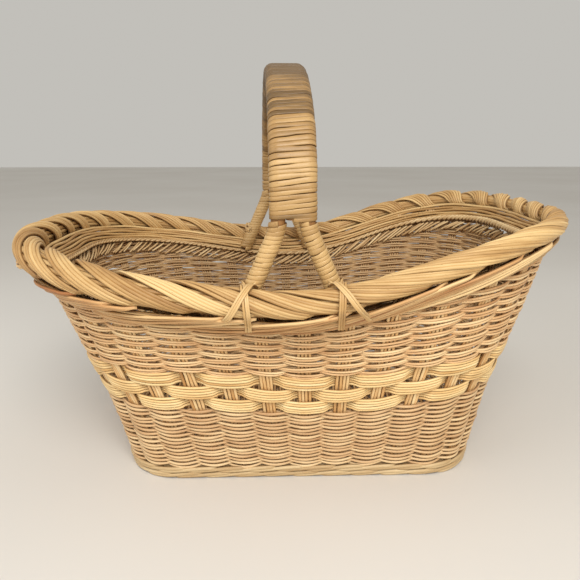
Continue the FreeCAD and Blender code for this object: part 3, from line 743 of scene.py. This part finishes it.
# The visible roll is thickest at the left end and thinnest at the front right.
ROLL_PLACES = (0.0, 0.08, 0.16, 0.25, 0.33, 0.42, 0.50, 0.62, 0.75, 0.88, 0.95, 1.0)
ROLL_RADII = (11.6, 10.0, 9.2, 10.2, 11.0, 11.0, 11.0, 12.0, 13.4, 13.5, 12.6, 11.6)
ROLL_LIFTS = (0.3, 3.0, 0.5, 1.3, 2.5, 2.5, 0.0, -0.8, 0.0, 0.0, 0.0, 0.3)
OUTER_RUNS = (2.6, 2.9, 2.9, 1.2, 1.1, 1.9, 2.3, 2.2, 2.1, 2.2, 2.4, 2.6)
INNER_RUNS = (0.6, 0.55, 0.45, 0.20, 0.25, 0.55, 0.75, 0.75, 0.40, 0.45, 0.55, 0.6)
# Where this is 1 the bundles are separate loops of more rods, cut off on the outside.
LOOSE = (0.0, 0.0, 0.1, 1.0, 1.0, 0.2, 0.0, 0.0, 0.0, 0.0, 0.0, 0.0)


def by_place(share, values):
    return np.interp(np.mod(share, 1.0), ROLL_PLACES, values)


def roll_radius(share):
    return by_place(share, ROLL_RADII)


def roll_lift(share):
    """The thinner roll rides high at the front right and low at the back."""
    return by_place(share, ROLL_LIFTS)


def wale_drop(share):
    """How far the top of the top wale lies below the rim's line: just under the visible roll."""
    return roll_radius(share) - roll_lift(share) + 3.5


def soften(values, window):
    """The values with their corners eased, their ends kept."""
    half = window // 2
    eased = values.copy()
    eased[half:-half] = np.convolve(values, np.ones(window) / window, mode="valid")
    return eased


def make_border():
    """A core of rods along the rim, and a bundle from each stake that wraps over it."""
    groups = {side: Strands() for side in SIDES}
    pitch = RIM_PERIMETER / STAKES
    for index in range(STAKES):
        add_bundle(groups[side_of(index)], stake_share(index), pitch)
    add_border_core(groups)
    for side, strands in groups.items():
        finish_piece(strands, f"border_rods_{side}", [f"border_{side}"], border_cane)


def add_bundle(strands, start, pitch):
    """One stake's rods: up the inside of the roll, over it along the rim, and in under the next."""
    loose = float(by_place(np.array(start + 0.7 / STAKES), LOOSE))
    rods = BUNDLE_RODS + round(2 * loose)
    inner = float(by_place(np.array(start + 0.3 / STAKES), INNER_RUNS)) * rng.uniform(0.9, 1.1)
    outer = float(by_place(np.array(start + 1.5 / STAKES), OUTER_RUNS)) * rng.uniform(0.94, 1.06)
    way = np.linspace(0, 1, 72)
    stops = (0, 0.26, 0.92, 1.0)
    angle = np.interp(way, stops, np.radians([232, 132, -58 + 14 * loose, -80 + 34 * loose]))
    along = np.interp(way, stops, [0.0, inner, inner + outer, inner + outer + 0.45]) * pitch
    angle = soften(angle, 15)
    along = soften(along, 15)
    radius = float(roll_radius(np.array(start + 1.5 / STAKES)))
    step_along = np.gradient(along)
    step_round = np.gradient(angle) * radius
    step = np.hypot(step_along, step_round)
    tone = rng.normal(0.5, 0.17)
    layer = 1.0 + rng.uniform(-0.3, 0.5) - 2.7 * smooth(0.20, 0.90, way)
    dive = (5.0 - 6.5 * loose) * smooth(0.90, 1.0, way) + 2.0 * smooth(0.08, 0.0, way)
    for rod in range(rods):
        rank = rod - (rods - 1) / 2
        width = BUNDLE_ROD_PITCH * rank * (0.72 + 0.28 * smooth(0.0, 0.25, way))
        place = start + (along - width * step_round / step) / pitch / STAKES
        turn = angle + width * step_along / step / radius
        wobble = rng.normal(0, 0.22) * np.sin(TAU * (way * rng.uniform(0.6, 1.6) + rng.random()))
        reach = roll_radius(place) - 2.3 + layer + 0.4 - 0.17 * rank * rank - dive + wobble
        path, normal = rim_roll(place, turn, reach)
        kept = len(way) - int(loose * rng.uniform(0, 7))
        shade = tone + rng.normal(0, 0.13)
        strands.add(path[:kept], normal[:kept], BUNDLE_ROD, BUNDLE_ROD, sides=8, tone=shade)


def add_border_core(groups):
    """Rods that run along the rim: under the bundles, and below the roll on both faces of the wall."""
    steps = 60
    for index, side in enumerate(SIDES):
        share = index / 4 - 0.125 + np.linspace(0, 0.25, steps)
        for rod in range(CORE_RODS):
            angle = TAU * rod / CORE_RODS + 0.9 * np.sin(TAU * share)
            path, normal = rim_roll(share, angle, roll_radius(share) - 6.0)
            groups[side].add(path, normal, 1.8, 2.2, tone=0.40 + 0.2 * math.sin(rod * 2.4))
    add_closing_rods(groups, -WALL / 2 - 0.5, 196, 6)
    add_closing_rods(groups, WALL / 2 - 1.0, -72, 4)


def add_closing_rods(groups, proud, degrees, bands):
    """Rods along the rim that close the space between the wall and the roll, on one face of the wall."""
    share = ring_shares(FINE_STEPS)
    wall_side, _ = wall_place(share, height_under_rim(share, WALE_TOP - 1.5), proud)
    roll_side, _ = rim_roll(share, np.full_like(share, math.radians(degrees)), roll_radius(share) - 0.4)
    slope = roll_side - wall_side
    _, out, forward = rim_frame(share)
    facing = np.cross(forward, slope)
    facing *= np.sign((facing * out).sum(1, keepdims=True)) * math.copysign(1.0, proud)
    facing /= np.linalg.norm(facing, axis=1, keepdims=True)
    for rod in range(bands):
        part = (rod + 0.3) / bands
        bulge = 1.2 * math.sin(math.pi * part) + wander(share, 0.5)
        path = wall_side + slope * (part + wander(share, 0.03))[:, None] + facing * bulge[:, None]
        tone = rng.normal(0.5, 0.15) + wander(share, 0.14)
        for index, side in enumerate(SIDES):
            rows = (np.arange(-len(share) // 8, len(share) // 8 + 1) + index * len(share) // 4) % len(share)
            groups[side].add(path[rows], facing[rows], 1.35, 1.5, tone=tone[rows])


def add_shoulder(strands):
    """Long rods that climb from the top wale to tuck in under the roll, three from each stake.
    None starts at the right end's front corner."""
    way = np.linspace(0, 1, 48)
    for index in range(STAKES):
        reach = rng.uniform(2.6, 3.6)
        start = stake_share(index) + rng.normal(0, 0.12) / STAKES
        tone = rng.normal(0.5, 0.16)
        if BARE_CORNER[0] < start < BARE_CORNER[1]:
            continue
        for rod in range(3):
            share = start + reach * way / STAKES
            drop = wale_drop(share) + 5.5 + 1.3 * rod
            low, normal = wall_place(share, height_under_rim(share, drop), 3.4)
            radius = roll_radius(share)
            high, outward = rim_roll(share, np.full_like(share, math.radians(-50)), radius - 0.6)
            part = smooth(0.0, 1.0, way) - 0.13 * rod * np.sin(math.pi * way)
            ends = smooth(0.10, 0.0, way) + smooth(0.92, 1.0, way)
            bulge = 1.9 * np.sin(math.pi * way) - 3.2 * ends + rng.normal(0, 0.3)
            path = low * (1 - part[:, None]) + high * part[:, None]
            path = path + (normal + outward * 0.3) * bulge[:, None]
            strands.add(path, normal + outward * 0.5, 1.3, 1.4, tone=tone + rng.normal(0, 0.15))


def make_inner_row():
    """A light twisted pair under the border's inside, thickest at the right end, over slanted rods."""
    strands = Strands()
    share = ring_shares(FINE_STEPS)
    right = np.exp(-(((share - 0.27) / 0.10) ** 2))
    height = height_under_rim(share, WALE_TOP - 1.5) + 2.5 * right
    twist = TAU * 100 * share + wander(share, 1.2)
    for half_turn in (0.0, math.pi):
        swell = 0.8 + 1.0 * right
        level = height + swell * np.sin(twist + half_turn)
        proud = -WALL / 2 - 3.4 + 1.2 * np.cos(twist + half_turn)
        path, normal = wall_place(share, level, proud)
        tone = 0.5 + 0.3 * right + wander(share, 0.12)
        strands.add(path, -normal, 1.25 + 0.5 * right, 1.3 + 0.6 * right, closed=True, tone=tone)
    way = np.linspace(0, 1, 7)
    for index in range(STAKES):
        for rod in range(5):
            lean = (0.55 + rng.normal(0, 0.08)) * way
            place = stake_share(index) - (lean + rod / 5 + rng.normal(0, 0.03)) / STAKES
            drop = WALE_TOP + 1.5 + (9.5 + rng.normal(0, 1.0)) * (1 - way)
            level = height_under_rim(place, drop)
            bow = -WALL / 2 - 1.0 - (1.3 + rng.normal(0, 0.3)) * np.sin(math.pi * way)
            path, normal = wall_place(place, level, bow)
            strands.add(path, -normal, 1.0, 1.15, tone=rng.normal(0.5, 0.2))
    finish_piece(strands, "inner_row_rods", ["inner_finishing_row"], row_cane)


# ---------------------------------------------------------------- handle

def to_handle(points):
    """Points from the handle's own frame to the basket's."""
    cos, sin = math.cos(HANDLE_TURN), math.sin(HANDLE_TURN)
    turn = np.array([[cos, -sin, 0], [sin, cos, 0], [0, 0, 1]])
    return points @ turn.T + np.array([HANDLE_OFFSET, 0, 0])


def turn_to_handle(directions):
    return to_handle(directions) - np.array([HANDLE_OFFSET, 0, 0])


def resample(path, spacing):
    hops = np.linalg.norm(np.diff(path, axis=0), axis=1)
    along = np.concatenate([[0.0], np.cumsum(hops)])
    goal = np.arange(0, along[-1], spacing)
    return np.stack([np.interp(goal, along, path[:, i]) for i in range(path.shape[1])], -1), along[-1]


def bow_path():
    """The band's centre line in the plane across the basket: y and z, evenly spaced."""
    top = box_mm("handle_wrap")[1][2] - WRAP - ROD_RADIUS
    inset = HALF_SPAN - SHOULDER
    rise = top - SPRING
    crown = (inset ** 2 + rise ** 2 - SHOULDER ** 2) / (2 * (rise - SHOULDER))
    lean = math.atan2(inset, SPRING - (top - crown))
    bend = np.linspace(math.pi / 2, lean, 40)
    shoulder = np.stack([-inset - SHOULDER * np.sin(bend), SPRING + SHOULDER * np.cos(bend)], -1)
    arc = np.linspace(-lean, 0, 60)[1:]
    half = np.stack([crown * np.sin(arc), top - crown + crown * np.cos(arc)], -1)
    foot = np.array([[-HALF_SPAN, BAND_START]])
    front = np.vstack([foot, shoulder, half])
    back = front[-2::-1] * np.array([-1, 1])
    return resample(np.vstack([front, back]), 0.5)


def turn_edges(length, pitch, spread):
    """Where each turn of a wrap starts along a run, with uneven cane widths."""
    widths = pitch * (1 + spread * rng.uniform(-1, 1, int(length / pitch)))
    edges = np.concatenate([[0.0], np.cumsum(widths)])
    return edges * length / edges[-1]


def wind(strands, place, length, size, pitch, slant, middle_darkening):
    """Cane wound round a run. place gives a point and two cross directions at a way along it.
    The cane is darker by the given amount in the middle of the run, or paler where that is negative."""
    edges = turn_edges(length, pitch, TURN_SPREAD)
    turns = len(edges) - 1
    per_turn = 32
    count = np.arange(turns * per_turn + 1) / per_turn
    x, y, out_x, out_y = outline(*size, count)
    way = np.interp(count, np.arange(turns + 1), edges)
    tilt = slant + 0.03 * np.interp(count, np.arange(turns + 1), rng.normal(0, 1, turns + 1))
    way = np.clip(way + tilt * x, 0.3, length - 0.3)
    point, across, depth = place(way)
    lift = 0.12 * np.interp(count, np.arange(turns + 1), rng.normal(0, 1, turns + 1))
    path = point + across * (x + lift * out_x)[:, None] + depth * (y + lift * out_y)[:, None]
    normal = across * out_x[:, None] + depth * out_y[:, None]
    width = np.gradient(np.interp(count, np.arange(turns + 1), edges)) * per_turn
    tone = np.interp(count, np.arange(turns + 1), rng.normal(0.5, 0.2, turns + 1))
    tone = tone + 0.12 - middle_darkening * np.sin(math.pi * way / length) ** 2
    outward = turn_to_handle(normal)
    strands.add(to_handle(path), outward, WRAP / 2, width * 0.52, sides=8, tone=tone, flat=0.5)


def make_handle_band():
    path, length = bow_path()
    along = np.linspace(0, length, len(path))
    heading = np.gradient(path, axis=0)
    heading /= np.linalg.norm(heading, axis=1, keepdims=True)

    def place(way):
        y, z = [np.interp(way, along, path[:, i]) for i in (0, 1)]
        go_y, go_z = [np.interp(way, along, heading[:, i]) for i in (0, 1)]
        point = np.stack([np.zeros_like(y), y, z], -1)
        across = np.broadcast_to([1.0, 0.0, 0.0], point.shape)
        depth = np.stack([np.zeros_like(y), go_z, -go_y], -1)
        return point, across, depth

    strands = Strands()
    radius = ROD_RADIUS + WRAP / 2
    size = (ROD_PITCH + radius, radius, radius - 0.01)
    wind(strands, place, length, size, BAND_TURN, slant=0.035, middle_darkening=1.15)
    finish_piece(strands, "handle_wrap_cane", ["handle_wrap"], wrap_cane)


def leg_path(side, end):
    """The centre line of a leg, from its foot up its round bend to the band."""
    foot = np.array([side * LEG_SPREAD, end * HALF_SPAN, LEG_FOOT])
    bend = np.array([side * ROD_PITCH, end * HALF_SPAN, SPLIT])
    incoming = (bend - foot) / np.linalg.norm(bend - foot)
    up = np.array([0, 0, 1.0])
    turn = math.acos(incoming @ up)
    reach = SPLIT_RADIUS * math.tan(turn / 2)
    way = np.linspace(0, 1, 12)[:, None]
    begin = bend - incoming * reach
    curve = (1 - way) ** 2 * begin + 2 * way * (1 - way) * bend + way ** 2 * (bend + up * reach)
    path = np.vstack([foot[None], curve])
    return resample(path[path[:, 2] < BAND_START], 0.5)


def make_leg_wraps():
    for end, end_name in ENDS:
        for side, side_name in LEG_SIDES:
            path, length = leg_path(side, end)
            along = np.linspace(0, length, len(path))
            heading = np.gradient(path, axis=0)
            heading /= np.linalg.norm(heading, axis=1, keepdims=True)

            def place(way):
                point = np.stack([np.interp(way, along, path[:, i]) for i in range(3)], -1)
                forward = np.stack([np.interp(way, along, heading[:, i]) for i in range(3)], -1)
                depth = np.broadcast_to([0.0, 1.0, 0.0], point.shape)
                return point, np.cross(depth, forward), depth

            strands = Strands()
            radius = ROD_RADIUS + WRAP / 2
            slant = 0.30 if side < 0 else -0.06
            wind(strands, place, length, (radius, radius, radius - 0.01), LEG_TURN, slant, middle_darkening=-0.9)
            name = f"leg_wrap_{end_name}_{side_name}"
            finish_piece(strands, name + "_cane", [name], wrap_cane)


def spline(points, count):
    """A smooth curve through control points."""
    points = np.asarray(points, float)
    padded = np.vstack([2 * points[0] - points[1], points, 2 * points[-1] - points[-2]])
    place = np.linspace(0, len(points) - 1 - 1e-9, count)
    index = place.astype(int)
    t = (place - index)[:, None]
    a, b, c, d = (padded[index + i] for i in range(4))
    square = (2 * a - 5 * b + 4 * c - d) * t ** 2
    cube = (3 * b - a - 3 * c + d) * t ** 3
    return 0.5 * (2 * b + (c - a) * t + square + cube)


# The strips of a lashing at the left leg: along the rim, then an angle round the roll and a
# distance from its surface, or an outward and an upward distance from the border's middle.
STRIPS = (
    (((0, -31.0, 9.0), (-4.0, -26.0, 9.5), (-4.0, -19.0, 10.5)),
     ((-3.5, 128, 0.6), (-2.8, 98, 0.7), (-1.8, 66, 0.8), (-0.4, 34, 0.9), (1.0, 2, 0.8), (2.2, -30, 0.4)),
     ((2.8, 1.0, -14.5), (3.2, -4.0, -20.5))),
    (((2, -31.0, 10.5), (6.0, -26.0, 10.5), (6.5, -19.0, 11.0)),
     ((5.0, 128, 1.5), (2.6, 98, 1.6), (0.2, 66, 1.7), (-3.6, 34, 1.9), (-7.6, 2, 1.9), (-11.6, -30, 1.2)),
     ((-16.0, 1.0, -13.0), (-18.5, -4.0, -17.0))),
)


def strip_path(strip, radius, lift, side):
    """One strip's path and outward directions, along the rim, outward and up.
    Behind the roll it goes round the leg, which stands inside the rim's line."""
    behind, over, below = strip
    leg_inward = 23.0
    length = 9.0
    points = [np.array(point, float) for point in behind]
    normals = [np.array([point[0], point[1] + leg_inward, 0.0]) / length for point in behind]
    for along, degrees, gap in over:
        turn = math.radians(degrees)
        facing = np.array([0.0, math.cos(turn), math.sin(turn)])
        points.append(facing * (radius + gap) + np.array([along, 0, lift]))
        normals.append(facing)
    for point in below:
        points.append(np.array(point, float))
        normals.append(np.array([0, 1.0, 0.0]))
    path = spline(np.array(points) * np.array([-side, 1, 1]), 100)
    return path, spline(np.array(normals) * np.array([-side, 1, 1]), 100)


def make_lashings():
    """Two strips of cane round each leg, crossed over the border and tucked into the top wale."""
    for end, end_name in ENDS:
        for side, side_name in LEG_SIDES:
            slope = (LEG_SPREAD - ROD_PITCH) / (SPLIT - LEG_FOOT)
            reach = LEG_SPREAD - slope * (RIM_DIP - LEG_FOOT)
            x = to_handle(np.array([side * reach, end * HALF_SPAN, 0.0]))[0]
            centre = np.array([x, end * RIM_HALF_WIDTH, float(rim_height(np.array(x)))])
            climb = float(rim_height(np.array(x + 1.0)) - rim_height(np.array(x - 1.0))) / 2
            forward = np.array([1.0, 0.0, climb]) / math.hypot(1.0, climb)
            upward = np.array([-climb, 0.0, 1.0]) / math.hypot(1.0, climb)
            basis = np.stack([forward, [0.0, end, 0.0], upward])
            share = np.array(0.0 if end < 0 else 0.5) + end * -x / (RIM_PERIMETER)
            radius = float(roll_radius(share)) + 1.0
            lift = float(roll_lift(share))
            strands = Strands()
            for strip in STRIPS:
                local, around = strip_path(strip, radius, lift, side)
                heading = np.gradient(local, axis=0)
                beside = np.cross(heading, around)
                beside /= np.linalg.norm(beside, axis=1, keepdims=True)
                tone = rng.normal(0.55, 0.1)
                for lane in (-1.0, 0.0, 1.0):
                    shifted = local + beside * (lane * 1.6 + rng.normal(0, 0.1))
                    shade = tone + rng.normal(0, 0.15)
                    path = centre + shifted @ basis
                    strands.add(path, around @ basis, 0.5, 0.82, sides=8, tone=shade, flat=0.6)
            name = f"lashing_{end_name}_{side_name}"
            finish_piece(strands, name + "_cane", [name], lash_cane)


def dress_cad_nodes():
    """The CAD solids that stay: the handle's rods and the base sticks."""
    for node in ("handle_rod_left", "handle_rod_right", "handle_filler_rod", "base_sticks"):
        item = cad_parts[node]
        item.data.materials.clear()
        item.data.materials.append(core_cane)


# ---------------------------------------------------------------- stage

def make_stage():
    mesh = bpy.data.meshes.new("studio_floor")
    reach = 6.0
    corners = [(-reach, -reach, 0), (reach, -reach, 0), (reach, reach, 0), (-reach, reach, 0)]
    mesh.from_pydata(corners, [], [(0, 1, 2, 3)])
    floor = bpy.data.objects.new("studio_floor", mesh)
    floor.data.materials.append(floor_material())
    bpy.context.scene.collection.objects.link(floor)
    world = bpy.data.worlds.new("studio")
    world.use_nodes = True
    background = world.node_tree.nodes["Background"]
    background.inputs["Color"].default_value = srgb(240, 237, 230)
    background.inputs["Strength"].default_value = 0.62
    bpy.context.scene.world = world
    lamps = (
        ("key", (0.15, -1.35, 1.30), 0.9, 25.0, (1.0, 0.97, 0.92)),
        ("fill", (-1.3, -0.7, 1.0), 1.2, 6.0, (0.97, 0.98, 1.0)),
    )
    for name, place, size, power, colour in lamps:
        light = bpy.data.lights.new(name, "AREA")
        light.size = size
        light.energy = power
        light.color = colour
        item = bpy.data.objects.new(name, light)
        item.location = place
        aim = np.array([0.0, 0.0, 0.12]) - np.array(place)
        tilt = math.acos(-aim[2] / np.linalg.norm(aim))
        item.rotation_euler = (tilt, 0, math.atan2(aim[1], aim[0]) - math.pi / 2)
        bpy.context.scene.collection.objects.link(item)


def make_camera():
    """A camera in front of the basket, above its rim, looking a little down and to the right."""
    look_down = 14.4
    look_right = 1.6
    data = bpy.data.cameras.new("camera")
    data.sensor_width = 36.0
    data.lens = 36.06
    camera = bpy.data.objects.new("camera", data)
    camera.location = (-0.0165, -0.545, 0.280)
    camera.rotation_euler = (math.radians(90 - look_down), 0, math.radians(-look_right))
    bpy.context.scene.collection.objects.link(camera)
    bpy.context.scene.camera = camera
    bpy.context.scene.view_settings.view_transform = "Standard"


make_camera()
make_stage()
make_foot()
make_floor_weave()
make_lower_weave()
make_waist_ribbons()
make_upper_weave()
make_top_wale()
make_stakes()
make_border()
make_inner_row()
make_handle_band()
make_leg_wraps()
make_lashings()
dress_cad_nodes()
